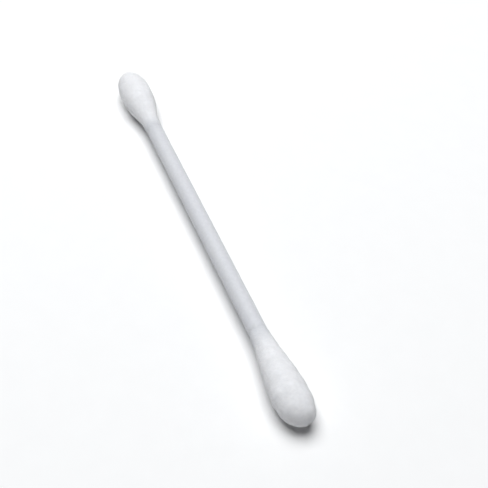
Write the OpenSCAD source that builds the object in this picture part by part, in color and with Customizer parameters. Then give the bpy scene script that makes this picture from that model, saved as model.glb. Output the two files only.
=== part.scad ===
// Double-ended cotton swab: a hollow drawn plastic stem with cotton wound into a bud on each end.
// The swab lies on its two buds, stem along X, with the origin on the surface below its middle.

/* [Whole swab] */
// Length from tip to tip
swab_length = 74; // [60:1:90]

/* [Stem] */
// Outer diameter of the stem
stem_diameter = 2.6; // [2:0.1:3.2]
// Diameter of the bore that runs through the stem
stem_bore = 1.4; // [0.6:0.1:1.6]
// Chamfer that the cutter leaves on the outer edge of each stem end
stem_chamfer = 0.12; // [0.05:0.01:0.25]

/* [Cotton buds] */
// Length of a bud from its tip to the end of its neck
bud_length = 15.4; // [12:0.1:20]
// Diameter of a bud at its fullest
bud_diameter = 5.1; // [4.2:0.1:6.5]
// Distance from the tip to the fullest part
tip_to_fullest = 4.6; // [3:0.1:6]
// Squareness of the rounded tip, where 2 is a plain ellipse
tip_squareness = 2.25; // [2:0.05:3]
// Cotton between the end of the stem and the tip
tip_cover = 1.8; // [1:0.1:2.4]
// Thickness of the cotton where the neck ends on the stem
neck_edge = 0.08; // [0.06:0.01:0.3]
// Depth of the flat that each bud is pressed to by lying down
rest_flat = 0.12; // [0.08:0.01:0.2]

/* [Winding] */
// Advance along the bud for each turn of the wound cotton
lap_pitch = 2.4; // [1.8:0.1:4]
// Height of a lap of wound cotton over the groove beside it
lap_height = 0.08; // [0.02:0.01:0.12]
// Lean of each lap towards the one before it, where 0 is a plain wave
lap_lean = 0.35; // [0:0.05:0.5]
// Length over which the laps die out towards the end of the neck
lap_fade = 2; // [1:0.1:4]

/* [Hidden] */

bud_sides = 48;      // facets around a bud
cap_rings = 9;       // rings from the tip to the fullest part
body_rings = 30;     // rings from the fullest part to the neck
round_sides = 64;    // fineness of the true round faces
past = 1;            // how far a cutter runs past what it cuts

stem_r = stem_diameter / 2;
bud_r = bud_diameter / 2;
neck_r = stem_r + neck_edge;
stem_length = swab_length - 2 * tip_cover;
socket_depth = bud_length - tip_cover;
axis_z = bud_r - rest_flat;

cotton_white = [0.96, 0.96, 0.95];
stem_white = [0.84, 0.86, 0.89];

// Rises smoothly from 0 to 1 as v goes from 0 to 1
function ease(v) = v * v * (3 - 2 * v);

// Each ring of a bud as [distance from the tip, radius of the plain form]
function cap_ring(a) = [
    tip_to_fullest * (1 - pow(cos(a), 2 / tip_squareness)),
    bud_r * pow(sin(a), 2 / tip_squareness)
];
function body_ring(v) = [
    tip_to_fullest + (bud_length - tip_to_fullest) * v,
    neck_r + (bud_r - neck_r) * ease(1 - v)
];
rings = concat(
    [for (i = [1 : cap_rings]) cap_ring(90 * i / cap_rings)],
    [for (i = [1 : body_rings]) body_ring(i / body_rings)]
);

// Relief of the wound laps: one skewed wave for each turn around the bud and each pitch along it
function lap_wave(phase) = (sin(phase) + lap_lean * sin(2 * phase)) / 2;
function lap_strength(ring) =
    ring[1] / bud_r * ease(min(1, (bud_length - ring[0]) / lap_fade));
function lap_relief(ring, angle) =
    lap_height * lap_strength(ring) * lap_wave(angle + 360 * ring[0] / lap_pitch);

function ring_points(ring) = [
    for (j = [0 : bud_sides - 1])
        let (angle = 360 * j / bud_sides, r = ring[1] + lap_relief(ring, angle))
            [-ring[0], r * cos(angle), r * sin(angle)]
];

// Bud without its socket: tip at the origin, neck towards -X
module wound_form() {
    last = len(rings) - 1;
    neck_centre = 1 + len(rings) * bud_sides;
    points = concat(
        [[0, 0, 0]],
        [for (ring = rings) each ring_points(ring)],
        [[-bud_length, 0, 0]]
    );
    function at(i, j) = 1 + i * bud_sides + j % bud_sides;
    faces = concat(
        [for (j = [0 : bud_sides - 1]) [0, at(0, j + 1), at(0, j)]],
        [for (i = [0 : last - 1], j = [0 : bud_sides - 1], half = [0, 1])
            half == 0
                ? [at(i, j), at(i, j + 1), at(i + 1, j + 1)]
                : [at(i, j), at(i + 1, j + 1), at(i + 1, j)]],
        [for (j = [0 : bud_sides - 1]) [neck_centre, at(last, j), at(last, j + 1)]]
    );
    polyhedron(points, faces);
}

// Bud with the blind socket that the stem fills
module socketed_bud() {
    difference() {
        wound_form();
        translate([-bud_length, 0, 0]) rotate([0, 90, 0]) rotate_extrude($fn = round_sides)
            polygon([
                [0, -past],
                [stem_r, -past],
                [stem_r, socket_depth - stem_chamfer],
                [stem_r - stem_chamfer, socket_depth],
                [0, socket_depth]
            ]);
    }
}

// Everything below the surface that the swab lies on
module below_surface() {
    translate([-swab_length, -bud_diameter, -bud_diameter])
        cube([2 * swab_length, 2 * bud_diameter, bud_diameter]);
}

module stem() {
    half = stem_length / 2;
    color(stem_white)
        translate([0, 0, axis_z]) rotate([0, 90, 0]) rotate_extrude($fn = round_sides)
            polygon([
                [stem_bore / 2, -half],
                [stem_r - stem_chamfer, -half],
                [stem_r, -half + stem_chamfer],
                [stem_r, half - stem_chamfer],
                [stem_r - stem_chamfer, half],
                [stem_bore / 2, half]
            ]);
}

module right_bud() {
    color(cotton_white)
        difference() {
            translate([swab_length / 2, 0, axis_z]) socketed_bud();
            below_surface();
        }
}

module left_bud() {
    mirror([1, 0, 0]) right_bud();
}

stem();
left_bud();
right_bud();
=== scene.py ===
"""Cotton swab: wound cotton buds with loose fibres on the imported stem, on a pale floor."""
import math

import bpy
import numpy as np
from mathutils import Matrix, Vector


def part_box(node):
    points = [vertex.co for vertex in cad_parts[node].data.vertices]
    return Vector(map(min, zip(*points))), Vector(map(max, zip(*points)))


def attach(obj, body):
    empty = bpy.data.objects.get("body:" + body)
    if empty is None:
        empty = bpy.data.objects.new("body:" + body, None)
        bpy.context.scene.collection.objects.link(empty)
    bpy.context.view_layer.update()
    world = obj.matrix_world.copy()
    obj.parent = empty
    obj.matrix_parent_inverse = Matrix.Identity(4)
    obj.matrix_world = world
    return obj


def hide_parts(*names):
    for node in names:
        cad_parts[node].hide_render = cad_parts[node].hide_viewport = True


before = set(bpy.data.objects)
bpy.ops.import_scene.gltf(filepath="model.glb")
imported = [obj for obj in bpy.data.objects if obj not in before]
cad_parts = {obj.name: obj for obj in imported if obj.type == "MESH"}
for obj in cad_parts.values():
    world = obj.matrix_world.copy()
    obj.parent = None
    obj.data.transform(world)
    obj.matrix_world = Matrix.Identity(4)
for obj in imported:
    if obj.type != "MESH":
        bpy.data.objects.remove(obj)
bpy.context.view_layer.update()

MM = 0.001
FULL_TURN = 2 * np.pi
scene = bpy.context.scene

# Camera: it looks along the azimuth, which turns from +Y towards +X, and down by the elevation
VIEW_AZIMUTH = math.radians(-68.4)
VIEW_ELEVATION = math.radians(47.9)
VIEW_ROLL = math.radians(-0.41)
VIEW_DISTANCE = 132.8 * MM
VIEW_TARGET = Vector((4.65 * MM, 4.93 * MM, 0))
PHOTO_SIDE = 488  # pixels across the photograph
FOCAL_PIXELS = 900  # focal length in the photograph's pixels
SENSOR_WIDTH = 36  # millimetres
CLIP_START = 1 * MM
CLIP_END = 10

# Level directions as the camera has them, and straight up
AWAY = Vector((math.sin(VIEW_AZIMUTH), math.cos(VIEW_AZIMUTH), 0))
RIGHT = Vector((math.cos(VIEW_AZIMUTH), -math.sin(VIEW_AZIMUTH), 0))
ABOVE = Vector((0, 0, 1))

# Studio: one soft key light above, and a surround that looks pale and lights little
KEY_BEHIND = 0.22  # how far it stands behind straight above, for each unit of height
KEY_LEFT = 0.06  # how far it stands to the left, likewise
KEY_DISTANCE = 0.55
KEY_SIZE = 0.45
KEY_WATTS = 4.07
KEY_COLOUR = (0.98, 0.99, 1.0)
SURROUND_COLOUR = (0.95, 0.97, 1.0, 1)
SURROUND_LIGHTS = 0.03  # its strength as a light
SURROUND_SEEN = 0.9  # its strength as the camera sees it
FLOOR_RADIUS = 0.16
FLOOR_SIDES = 128

# Form of a bud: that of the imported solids, with lower laps and a thinner end of the neck
TIP_SQUARENESS = 2.25
NECK_COTTON = 0.04 * MM  # cotton over the stem just before the neck ends
NECK_THINS = 1.1 * MM  # length over which that cotton thins out to nothing
NECK_RAGGED = 0.3 * MM  # how far short of the neck's end the cotton may stop
NECK_SINKS = 0.008 * MM  # how far its last ring lies below the stem's surface
RAGGED_WAVES = range(2, 26)
RAGGED_FALL = 0.6  # each wave is divided by its count to this power
LAP_PITCH = 2.4 * MM
LAP_HEIGHT = 0.028 * MM
LAP_LEAN = 0.35
LAP_FADE = 2 * MM
LAP_WANDER = [(0.5, 1, 3), (0.4, 2, -9)]  # radians, waves round the bud, radians along it
LUMPS = 14
LUMP_HEIGHT = 0.009 * MM
LUMP_LENGTH = 3.2 * MM
LUMP_WAVES = (1, 6)  # round the bud, the last one left out
SOCKET_GRIP = 0.01 * MM  # how far the socket's wall lies inside the stem's surface
PRESS_SOFTNESS = 0.02 * MM  # height below which the cotton starts to be pressed flat

# Surface grid of a bud
OUTLINE_STEPS = 6000  # fineness with which the length of its outline is measured
RING_STEP = 0.075 * MM
SIDES = 272

# Locks of fibres, each a ridge in the surface that is drawn on a canvas of rows and columns
LOCKS = 2600
LOCK_WIDTH = 0.07 * MM
LOCK_HEIGHT = 0.022 * MM
LOCK_LENGTH = (1.0 * MM, 5.0 * MM)
LOCK_STRENGTH = (0.3, 1.0)
LOCK_SLOPE = 0.16  # mean advance along the bud for each unit of its length
LOCK_SLOPE_SPREAD = 0.14
LOCK_BEND_SPREAD = 0.016 / MM
LOCK_STEPS = 90
LOCK_NEAREST = 0.15 * MM  # least distance of its middle from the tip
LOCK_LEAST_RADIUS = 0.35 * MM  # least radius that its way round the bud is reckoned with
LOCK_FULL = 98  # percentile of the canvas that counts as full height
CANVAS_ROWS = 1200
CANVAS_FINENESS = 2  # columns for each side of the bud

# Loose fibres: two numbers are the ends of an even spread, or a mean and a normal spread
LOOSE_FIBRES = 2600
FIBRE_JITTER = 0.05  # spread of the angle at which it starts
FIBRE_LENGTH = (0.5 * MM, 2.2 * MM)
FIBRE_HEADING = (0.15, 0.33)  # mean and spread, in radians from straight round the bud
FIBRE_BEND = 0.7  # spread of the turn from its start to its end
FIBRE_LIFT = 0.03 * MM  # spread of how high its ends stand off
FIBRE_LIES = 0.003 * MM  # how high its middle is above the surface
FIBRE_CLEARS = 0.004 * MM  # least height over the floor
FIBRE_RADIUS = 0.006 * MM
FIBRE_POINTS = 7
FIBRE_SIDES = 3
FIBRE_LEAST_RADIUS = 0.4 * MM  # least radius that its way round the bud is reckoned with
STRAYS = 0.07  # share of the fibres that stand off further
STRAY_LIFT = (0.05 * MM, 0.35 * MM)
TIP_SHARE = 0.15  # least share of fibres that a ring near the tip gets
NECK_BARE = 2.0 * MM  # length over which they thin out towards the end of the neck
NECK_FIBRES = 70  # more of them, that run on from the neck along the stem
NECK_FIBRE_START = (0.1 * MM, 1.6 * MM)  # from the neck's end
NECK_FIBRE_HEADING = (1.1, 0.45)
NECK_FIBRE_LENGTH = 0.7  # their length over that of the others
GOLDEN_TURN = math.pi * (3 - math.sqrt(5))  # from each start to the next, for even cover
ASKEW = np.array([0.31, 0.47, 0.83])  # no fibre runs this way; the tubes are turned by it

# Materials: the cotton from its shaded grain to its light grain, and what noise does
COTTON_LOW = (0.808, 0.812, 0.834)
COTTON_HIGH = (0.898, 0.903, 0.925)
NECK_TONE = (0.70, 0.712, 0.744)  # where the stem shows through the thin cotton
STRAND_TURNS = (0.22, -0.3)  # the two ways that felted strands run, in radians
NOISE_RANGE = (0.3, 0.7)  # where nearly all values of a noise lie

# What sets the two buds apart:
# side     which way along X the tip points
# seed     of its random draws
# full     its diameter over that of the imported bud
# fullest  distance from the tip to the fullest part
# steep    how steep its neck is, from 0 to 1
# lean     how far the tip stands off sideways
# sway     how far the whole body stands off sideways
# fade     where its colour turns from the neck's tone to the cotton's, from the neck's end
# white    scale on its cotton's colour; below 1 it is painted shade that darkens this bud
BUDS = [
    {"node": "right_bud", "side": 1, "seed": 11, "full": 0.98, "fullest": 4.35 * MM,
     "steep": 0, "lean": 0.41 * MM, "sway": -0.08 * MM,
     "fade": (0.8 * MM, 4.1 * MM), "painted_shade_scale": 0.975},
    {"node": "left_bud", "side": -1, "seed": 23, "full": 0.985, "fullest": 4.9 * MM,
     "steep": 1, "lean": -0.17 * MM, "sway": -0.05 * MM,
     "fade": (0.4 * MM, 3.2 * MM), "painted_shade_scale": 1.0},
]


def ease(v):
    """Rises smoothly from 0 to 1 as v goes from 0 to 1."""
    v = np.clip(v, 0, 1)
    return v * v * (3 - 2 * v)


def unit(vectors):
    """The vectors, each made 1 long; one of no length stays as it is."""
    return vectors / (np.linalg.norm(vectors, axis=-1, keepdims=True) + 1e-12)


def new_material(name, sockets):
    """A node material, its tree and its principled shader with these values in its sockets."""
    material = bpy.data.materials.new(name)
    material.use_nodes = True
    shader = material.node_tree.nodes["Principled BSDF"]
    for socket, value in sockets.items():
        shader.inputs[socket].default_value = value
    return material, material.node_tree, shader


def add_noise(tree, scale, detail=4, stretch=(1, 1, 1), roughness=0.5, turn=0.0):
    """Noise over the object's own coordinates, turned about Z and stretched by axis."""
    place = tree.nodes.new("ShaderNodeTexCoord")
    mapping = tree.nodes.new("ShaderNodeMapping")
    mapping.inputs["Scale"].default_value = stretch
    mapping.inputs["Rotation"].default_value = (0, 0, turn)
    noise = tree.nodes.new("ShaderNodeTexNoise")
    noise.inputs["Scale"].default_value = scale
    noise.inputs["Detail"].default_value = detail
    noise.inputs["Roughness"].default_value = roughness
    tree.links.new(place.outputs["Object"], mapping.inputs["Vector"])
    tree.links.new(mapping.outputs["Vector"], noise.inputs["Vector"])
    return noise.outputs["Fac"]


def add_ramp(tree, noise, low, high):
    """Colour that goes from low to high as the noise goes through its range."""
    ramp = tree.nodes.new("ShaderNodeValToRGB")
    for element, position, colour in zip(ramp.color_ramp.elements, NOISE_RANGE, (low, high)):
        element.position = position
        element.color = (*colour, 1)
    tree.links.new(noise, ramp.inputs["Fac"])
    return ramp.outputs["Color"]


def add_range(tree, value, low, high, start=NOISE_RANGE[0], end=NOISE_RANGE[1], kind="LINEAR"):
    """Number that goes from low to high as value goes from start to end."""
    spread = tree.nodes.new("ShaderNodeMapRange")
    spread.interpolation_type = kind
    spread.inputs["From Min"].default_value = start
    spread.inputs["From Max"].default_value = end
    spread.inputs["To Min"].default_value = low
    spread.inputs["To Max"].default_value = high
    tree.links.new(value, spread.inputs["Value"])
    return spread.outputs["Result"]


def add_bump(tree, shader, height, distance, strength):
    """Bump on the shader from a height of 0 to 1, which stands for this distance."""
    bump = tree.nodes.new("ShaderNodeBump")
    bump.inputs["Distance"].default_value = distance
    bump.inputs["Strength"].default_value = strength
    tree.links.new(height, bump.inputs["Height"])
    tree.links.new(bump.outputs["Normal"], shader.inputs["Normal"])


def add_neck_fade(tree, start, end):
    """1 on the buds, falling to 0 where the neck's cotton thins out; alike for both buds."""
    place = tree.nodes.new("ShaderNodeTexCoord")
    split = tree.nodes.new("ShaderNodeSeparateXYZ")
    distance = tree.nodes.new("ShaderNodeMath")
    distance.operation = "ABSOLUTE"
    tree.links.new(place.outputs["Object"], split.inputs["Vector"])
    tree.links.new(split.outputs["X"], distance.inputs[0])
    neck_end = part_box("right_bud")[0].x
    return add_range(tree, distance.outputs["Value"], 0, 1,
                     start=neck_end + start, end=neck_end + end, kind="SMOOTHSTEP")


def cotton_material(bud):
    """Bleached cotton: matt, soft to light, with faint mottling and felted fibres."""
    material, tree, shader = new_material("cotton_" + bud.node, {
        "Roughness": 0.95,
        "Specular IOR Level": 0.15,
        "Sheen Weight": 0.05,
        "Sheen Roughness": 0.6,
        "Subsurface Weight": 0.15,
        "Subsurface Radius": (0.5, 0.45, 0.42),
        "Subsurface Scale": 1 * MM,
    })
    mottle = add_noise(tree, scale=1550, roughness=0.6)
    # the cotton's colours, darkened by this bud's painted shade
    low, high = np.array([COTTON_LOW, COTTON_HIGH]) * bud.painted_shade_scale
    mix = tree.nodes.new("ShaderNodeMix")
    mix.data_type = "RGBA"
    mix.inputs["A"].default_value = (*NECK_TONE, 1)
    tree.links.new(add_ramp(tree, mottle, low, high), mix.inputs["B"])
    tree.links.new(add_neck_fade(tree, *bud.fade), mix.inputs["Factor"])
    tree.links.new(mix.outputs["Result"], shader.inputs["Base Color"])
    strands = tree.nodes.new("ShaderNodeMath")
    strands.operation = "MAXIMUM"
    for i, turn in enumerate(STRAND_TURNS):
        strand = add_noise(tree, scale=3200, stretch=(7, 1, 1), roughness=0.65, turn=turn)
        tree.links.new(strand, strands.inputs[i])
    add_bump(tree, shader, strands.outputs["Value"], distance=0.02 * MM, strength=0.8)
    return material


def fibre_material():
    """Single cotton fibres: the same cotton, a little brighter as painted light for what a thin
    fibre lets through.
    """
    material, tree, shader = new_material("cotton_fibre", {
        "Roughness": 0.8,
        "Specular IOR Level": 0.2,
    })
    mottle = add_noise(tree, scale=1500)
    # brighter than the bud's cotton: painted light in place of light passing through the fibre
    colour = add_ramp(tree, mottle, low=(0.9, 0.9, 0.9), high=(0.96, 0.96, 0.96))
    tree.links.new(colour, shader.inputs["Base Color"])
    return material


def stem_material():
    """Drawn polypropylene: milky, satin, with fine lines along the stem from the die."""
    material, tree, shader = new_material("stem_plastic", {
        "IOR": 1.49,
        "Specular IOR Level": 0.3,
        "Subsurface Weight": 0.5,
        "Subsurface Radius": (1.0, 0.98, 0.88),
        "Subsurface Scale": 1 * MM,
    })
    lines = add_noise(tree, scale=3500, detail=3, stretch=(0.004, 1, 1))
    mottle = add_noise(tree, scale=2600)
    colour = add_ramp(tree, mottle, low=(0.626, 0.637, 0.666), high=(0.68, 0.691, 0.72))
    tree.links.new(colour, shader.inputs["Base Color"])
    tree.links.new(add_range(tree, lines, low=0.45, high=0.58), shader.inputs["Roughness"])
    add_bump(tree, shader, lines, distance=0.006 * MM, strength=0.5)
    return material


def floor_material():
    """Plain pale matt floor with the faintest grain."""
    material, tree, shader = new_material("studio_floor", {
        "Roughness": 0.9,
        "Specular IOR Level": 0.1,
    })
    grain = add_noise(tree, scale=300)
    colour = add_ramp(tree, grain, low=(0.895, 0.895, 0.895), high=(0.905, 0.905, 0.905))
    tree.links.new(colour, shader.inputs["Base Color"])
    return material


def mesh_object(name, points, faces, material):
    """A smooth mesh object in the row's frame, from metres."""
    mesh = bpy.data.meshes.new(name)
    mesh.from_pydata(points.tolist(), [], faces)
    mesh.polygons.foreach_set("use_smooth", [True] * len(mesh.polygons))
    mesh.materials.append(material)
    mesh.validate()
    mesh.update()
    piece = bpy.data.objects.new(name, mesh)
    scene.collection.objects.link(piece)
    return piece


def tube_faces(rows, sides):
    """Faces of a closed tube: rows of points around it, then one point for each end."""
    faces = []
    for i in range(rows - 1):
        low, high = i * sides, (i + 1) * sides
        for j in range(sides):
            k = (j + 1) % sides
            faces.append((low + j, low + k, high + k, high + j))
    last = (rows - 1) * sides
    first_end, last_end = rows * sides, rows * sides + 1
    for j in range(sides):
        k = (j + 1) % sides
        faces.append((first_end, k, j))
        faces.append((last_end, last + j, last + k))
    return faces


def smooth_canvas(canvas, rows, columns):
    """The canvas blurred by so many rows and columns; it wraps round in both directions."""
    high, wide = canvas.shape
    down = np.fft.fftfreq(high)[:, None]
    across = np.fft.fftfreq(wide)[None, :]
    keep = np.exp(-2 * np.pi ** 2 * ((rows * down) ** 2 + (columns * across) ** 2))
    return np.real(np.fft.ifft2(np.fft.fft2(canvas) * keep))


class Bud:
    """One wound bud: a radius for each ring and angle, and places on the surface it makes."""

    def __init__(self, node, side, seed, full, fullest, steep, lean, sway, fade, painted_shade_scale):
        self.node, self.side, self.fullest, self.steep = node, side, fullest, steep
        self.lean, self.sway, self.fade, self.painted_shade_scale = lean, sway, fade, painted_shade_scale
        self.random = np.random.default_rng(seed)
        low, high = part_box(node)
        stem_low, stem_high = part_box("stem")
        self.stem_r = (stem_high.z - stem_low.z) / 2
        self.axis_z = (stem_high.z + stem_low.z) / 2
        self.tip_x = high.x if side > 0 else low.x
        self.length = high.x - low.x
        self.stem_end = abs(self.tip_x) - stem_high.x
        self.bud_r = full * (high.y - low.y - LAP_HEIGHT) / 2
        self.arc, self.rings = self.even_rings()
        self.angles = np.arange(SIDES) * FULL_TURN / SIDES
        self.radius = self.plain_radius(self.rings)[:, None] - self.neck_sink() + self.relief()

    def rise(self, t):
        """0 where the neck ends, rising smoothly to 1 at the fullest part and up to the tip."""
        return ease((self.length - t) / (self.length - self.fullest))

    def plain_radius(self, t):
        """Radius of the plain form at distance t from the tip."""
        cap = 1 - np.clip(1 - t / self.fullest, 0, 1) ** TIP_SQUARENESS
        cap = cap ** (1 / TIP_SQUARENESS)
        neck_r = self.stem_r + NECK_COTTON
        rise = self.rise(t)
        rise += self.steep * (ease(rise) - rise)
        body = neck_r + (self.bud_r - neck_r) * rise
        return np.where(t < self.fullest, self.bud_r * cap, body)

    def even_rings(self):
        """Even arc lengths along the curved outline, and their distances from the tip."""
        t = self.length * np.linspace(0, 1, OUTLINE_STEPS) ** 2
        r = self.plain_radius(t)
        run = np.concatenate([[0], np.cumsum(np.hypot(np.diff(t), np.diff(r)))])
        count = int(run[-1] / RING_STEP)
        arc = np.linspace(0, run[-1], count + 1)[1:]
        return arc, np.interp(arc, run, t)

    def neck_sink(self):
        """How far the thinning cotton sinks towards the stem, with a ragged end."""
        t, a = self.rings[:, None], self.angles[None, :]
        ragged = np.zeros((1, SIDES))
        for around in RAGGED_WAVES:
            turn = self.random.uniform(0, FULL_TURN)
            ragged += np.cos(around * a + turn) / around ** RAGGED_FALL
        end = self.length - NECK_RAGGED * (ragged.max() - ragged) / np.ptp(ragged)
        return (NECK_COTTON + NECK_SINKS) * (1 - ease((end - t) / NECK_THINS))

    def relief(self):
        """How far the surface stands off the plain form: laps, lumps and locks of fibres."""
        t, a = self.rings[:, None], self.angles[None, :]
        fade = self.plain_radius(t) / self.bud_r * ease((self.length - t) / LAP_FADE)
        wander = sum(size * np.sin(around * a + along * t / self.length)
                     for size, around, along in LAP_WANDER)
        phase = a * self.side + FULL_TURN * t / LAP_PITCH + wander
        laps = LAP_HEIGHT * (np.sin(phase) + LAP_LEAN * np.sin(2 * phase)) / 2
        soft = fade * (laps + self.lumps(t, a))
        return soft + self.locks() * ease((self.length - t) / NECK_THINS)

    def lumps(self, t, a):
        """Soft uneven fullness that any wound cotton has."""
        total = np.zeros((len(self.rings), SIDES))
        for _ in range(LUMPS):
            around = self.random.integers(*LUMP_WAVES)
            along = self.random.normal(0, 1 / LUMP_LENGTH)
            turn = self.random.uniform(0, FULL_TURN)
            wave = np.cos(around * a + FULL_TURN * along * t + turn)
            total += LUMP_HEIGHT / around * wave
        return total

    def locks(self):
        """Locks of fibres, each a low ridge that runs nearly round the bud."""
        columns = SIDES * CANVAS_FINENESS
        canvas = np.zeros((CANVAS_ROWS, columns))
        rows_per_length = (CANVAS_ROWS - 1) / self.length
        for _ in range(LOCKS):
            row, column, swell = self.one_lock()
            row = row.astype(int)
            column = column.astype(int) % columns
            inside = (row >= 0) & (row < CANVAS_ROWS)
            np.maximum.at(canvas, (row[inside], column[inside]), swell[inside])
        blur_columns = LOCK_WIDTH / (FULL_TURN * self.bud_r) * columns
        soft = smooth_canvas(canvas, LOCK_WIDTH * rows_per_length, blur_columns)
        soft = soft / np.percentile(soft, LOCK_FULL)
        rows = np.clip(self.canvas_row(self.rings).astype(int), 0, CANVAS_ROWS - 1)
        return LOCK_HEIGHT * (soft[rows][:, ::CANVAS_FINENESS] - 0.5)

    def canvas_row(self, t):
        """Row of the canvas at distance t from the tip, not yet rounded."""
        return t / self.length * (CANVAS_ROWS - 1)

    def one_lock(self):
        """A lock as the canvas rows and columns that it runs through, and its height there."""
        start_t = self.random.uniform(LOCK_NEAREST, self.length)
        start_a = self.random.uniform(0, FULL_TURN)
        slope = self.random.normal(LOCK_SLOPE * self.side, LOCK_SLOPE_SPREAD)
        bend = self.random.normal(0, LOCK_BEND_SPREAD)
        length = self.random.uniform(*LOCK_LENGTH)
        height = self.random.uniform(*LOCK_STRENGTH)
        u = np.linspace(-0.5, 0.5, LOCK_STEPS) * length
        t = start_t + u * slope + bend * u * u
        r = self.plain_radius(np.clip(t, 0, self.length))
        a = start_a + u * self.side / np.maximum(r, LOCK_LEAST_RADIUS)
        column = a / FULL_TURN * (SIDES * CANVAS_FINENESS)
        return self.canvas_row(t), column, height * np.sin(np.pi * (u / length + 0.5))

    def to_frame(self, t, angle, r):
        """Points in the row's frame; what would lie under the floor is pressed flat on it."""
        x = self.tip_x - self.side * t
        bow = self.lean * np.clip(1 - t / self.fullest, 0, 1) ** 2 + self.sway * self.rise(t)
        y = r * np.cos(angle) + bow
        z = self.axis_z + r * np.sin(angle)
        pressed = PRESS_SOFTNESS * np.exp(np.minimum(z / PRESS_SOFTNESS - 1, 0))
        return np.stack([x, y, np.where(z > PRESS_SOFTNESS, z, pressed)], -1)

    def places(self, arc, angle, lift):
        """Points at arc lengths from the tip and at angles, raised off the surface by lift."""
        row = np.interp(arc, self.arc, np.arange(len(self.arc)))
        low_row = np.clip(row.astype(int), 0, len(self.rings) - 2)
        column = angle / FULL_TURN * SIDES
        low_column = np.floor(column).astype(int)
        row_share, column_share = row - low_row, column - low_column

        def between_columns(rows):
            low = self.radius[rows, low_column % SIDES]
            high = self.radius[rows, (low_column + 1) % SIDES]
            return low * (1 - column_share) + high * column_share

        r = between_columns(low_row) * (1 - row_share)
        r += between_columns(low_row + 1) * row_share
        # The neck's last rings lie inside the stem, and fibres there lie on the stem
        r = np.where(arc > self.arc[-1] / 2, np.maximum(r, self.stem_r), r)
        past = np.maximum(arc - self.arc[-1], 0)
        t = np.interp(arc, self.arc, self.rings) + past
        slope = np.gradient(self.plain_radius(self.rings), self.rings)
        tilt = np.arctan(np.where(past > 0, 0, np.interp(arc, self.arc, slope)))
        return self.to_frame(t - lift * np.sin(tilt), angle, r + lift * np.cos(tilt))

    def build(self, material):
        """The bud as one closed mesh, with the socket that the stem fills."""
        wall_t = [self.length, self.stem_end]
        wall_r = np.full((len(wall_t), SIDES), self.stem_r - SOCKET_GRIP)
        t, a = np.meshgrid(np.concatenate([self.rings, wall_t]), self.angles, indexing="ij")
        skin = self.to_frame(t, a, np.concatenate([self.radius, wall_r]))
        ends = self.to_frame(np.array([0, self.stem_end]), np.zeros(2), np.zeros(2))
        faces = tube_faces(len(t), SIDES)
        if self.side > 0:
            faces = [face[::-1] for face in faces]
        points = np.concatenate([skin.reshape(-1, 3), ends])
        return mesh_object("wound_" + self.node, points, faces, material)

    def fibre_starts(self):
        """Where the loose fibres start: evenly spread, and thinning out at the neck's end."""
        share = np.maximum(self.plain_radius(self.rings) / self.bud_r, TIP_SHARE)
        share = share * ease((self.length - self.rings) / NECK_BARE)
        run = np.cumsum(share * np.diff(self.arc, prepend=0))
        number = np.arange(LOOSE_FIBRES)
        even = (number + self.random.uniform(0, 1, LOOSE_FIBRES)) / LOOSE_FIBRES
        turn = GOLDEN_TURN * number + self.random.normal(0, FIBRE_JITTER, LOOSE_FIBRES)
        return np.interp(even * run[-1], run, self.arc), turn

    def fibres(self, material):
        """Loose fibres: most lie round the bud, some stand off it, some run along the stem."""
        random = self.random
        start, turn = self.fibre_starts()
        neck_start = self.arc[-1] - random.uniform(*NECK_FIBRE_START, NECK_FIBRES)
        start = np.concatenate([start, neck_start])
        turn = np.concatenate([turn, random.uniform(0, FULL_TURN, NECK_FIBRES)])
        count = len(start)
        at_neck = np.arange(count) >= LOOSE_FIBRES
        length = random.uniform(*FIBRE_LENGTH, count)
        heading = random.normal(*FIBRE_HEADING, count)
        heading[at_neck] = random.normal(*NECK_FIBRE_HEADING, NECK_FIBRES)
        length[at_neck] *= NECK_FIBRE_LENGTH
        bend = random.normal(0, FIBRE_BEND, count)
        lift = np.abs(random.normal(0, FIBRE_LIFT, count))
        stray = random.uniform(0, 1, count) < STRAYS
        lift[stray] += random.uniform(*STRAY_LIFT, stray.sum())
        u = np.linspace(0, 1, FIBRE_POINTS)
        course = heading[:, None] + bend[:, None] * u
        step = length / (FIBRE_POINTS - 1)
        arc = np.empty((count, FIBRE_POINTS))
        angle = np.empty((count, FIBRE_POINTS))
        arc[:, 0], angle[:, 0] = start, turn
        for i in range(1, FIBRE_POINTS):
            r = self.plain_radius(np.interp(arc[:, i - 1], self.arc, self.rings))
            around = step * np.cos(course[:, i]) / np.maximum(r, FIBRE_LEAST_RADIUS)
            arc[:, i] = np.abs(arc[:, i - 1] + step * np.sin(course[:, i]))
            angle[:, i] = angle[:, i - 1] + self.side * around
        rise = lift[:, None] * (2 * u - 1) ** 2 + FIBRE_LIES
        return fibre_tubes("loose_fibres_" + self.node, self.places(arc, angle, rise), material)


def fibre_tubes(name, spine, material):
    """Thin closed tubes along the spines, pointed at both ends."""
    ahead = unit(np.gradient(spine, axis=1))[:, 1:-1, None, :]
    side = unit(np.cross(ahead, ASKEW))
    turns = np.arange(FIBRE_SIDES)[:, None] * FULL_TURN / FIBRE_SIDES
    ring = np.cos(turns) * side + np.sin(turns) * np.cross(ahead, side)
    body = spine[:, 1:-1, None, :] + FIBRE_RADIUS * ring
    count, rows = body.shape[:2]
    points = np.concatenate([body.reshape(count, -1, 3), spine[:, :1], spine[:, -1:]], axis=1)
    points[..., 2] = np.maximum(points[..., 2], FIBRE_CLEARS)
    pattern = tube_faces(rows, FIBRE_SIDES)
    faces = [tuple(first + v for v in face)
             for first in range(0, count * points.shape[1], points.shape[1])
             for face in pattern]
    return mesh_object(name, points.reshape(-1, 3), faces, material)


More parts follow.
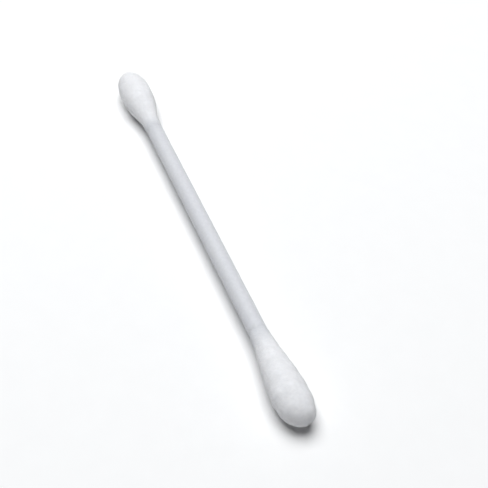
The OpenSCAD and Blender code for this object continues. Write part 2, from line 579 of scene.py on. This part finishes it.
def add_camera():
    """The photograph's camera."""
    look = AWAY * math.cos(VIEW_ELEVATION)
    look.z = -math.sin(VIEW_ELEVATION)
    turn = Matrix((RIGHT, RIGHT.cross(look), -look)).transposed().to_4x4()
    data = bpy.data.cameras.new("camera")
    data.sensor_width = SENSOR_WIDTH
    data.lens = SENSOR_WIDTH * FOCAL_PIXELS / PHOTO_SIDE
    data.clip_start = CLIP_START
    data.clip_end = CLIP_END
    camera = bpy.data.objects.new("camera", data)
    scene.collection.objects.link(camera)
    place = Matrix.Translation(VIEW_TARGET - look * VIEW_DISTANCE)
    camera.matrix_world = place @ turn @ Matrix.Rotation(VIEW_ROLL, 4, "Z")
    scene.camera = camera


def add_floor():
    """A round floor that the swab lies in the middle of."""
    turns = np.linspace(0, FULL_TURN, FLOOR_SIDES, endpoint=False)
    rim = FLOOR_RADIUS * np.stack([np.cos(turns), np.sin(turns), np.zeros(FLOOR_SIDES)], -1)
    floor = mesh_object("studio_floor", rim, [tuple(range(FLOOR_SIDES))], floor_material())


def add_key_light():
    """A square soft light that faces the swab."""
    data = bpy.data.lights.new("key", "AREA")
    data.energy = KEY_WATTS
    data.color = KEY_COLOUR
    data.size = KEY_SIZE
    light = bpy.data.objects.new("key", data)
    scene.collection.objects.link(light)
    towards = AWAY * KEY_BEHIND - RIGHT * KEY_LEFT + ABOVE
    light.location = towards.normalized() * KEY_DISTANCE
    light.rotation_euler = (-light.location).to_track_quat("-Z", "Y").to_euler()


def add_surround():
    """A pale surround, which is bright to the camera and dim as a light."""
    world = bpy.data.worlds.new("surround")
    scene.world = world
    world.use_nodes = True
    tree = world.node_tree
    background = tree.nodes["Background"]
    background.inputs["Color"].default_value = SURROUND_COLOUR
    seen = tree.nodes.new("ShaderNodeLightPath").outputs["Is Camera Ray"]
    strength = add_range(tree, seen, SURROUND_LIGHTS, SURROUND_SEEN, start=0, end=1)
    tree.links.new(strength, background.inputs["Strength"])


def build_swab():
    """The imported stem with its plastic, and for each bud its wound cotton and loose fibres."""
    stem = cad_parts["stem"]
    fibre = fibre_material()
    stem.data.materials.clear()
    stem.data.materials.append(stem_material())
    for facts in BUDS:
        bud = Bud(**facts)
        piece = bud.build(cotton_material(bud))
        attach(piece, "root")
        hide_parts(facts["node"])
        loose = bud.fibres(fibre)
        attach(loose, "root")
        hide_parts(facts["node"])


add_camera()
build_swab()
add_floor()
add_key_light()
add_surround()
scene.view_settings.view_transform = "Standard"
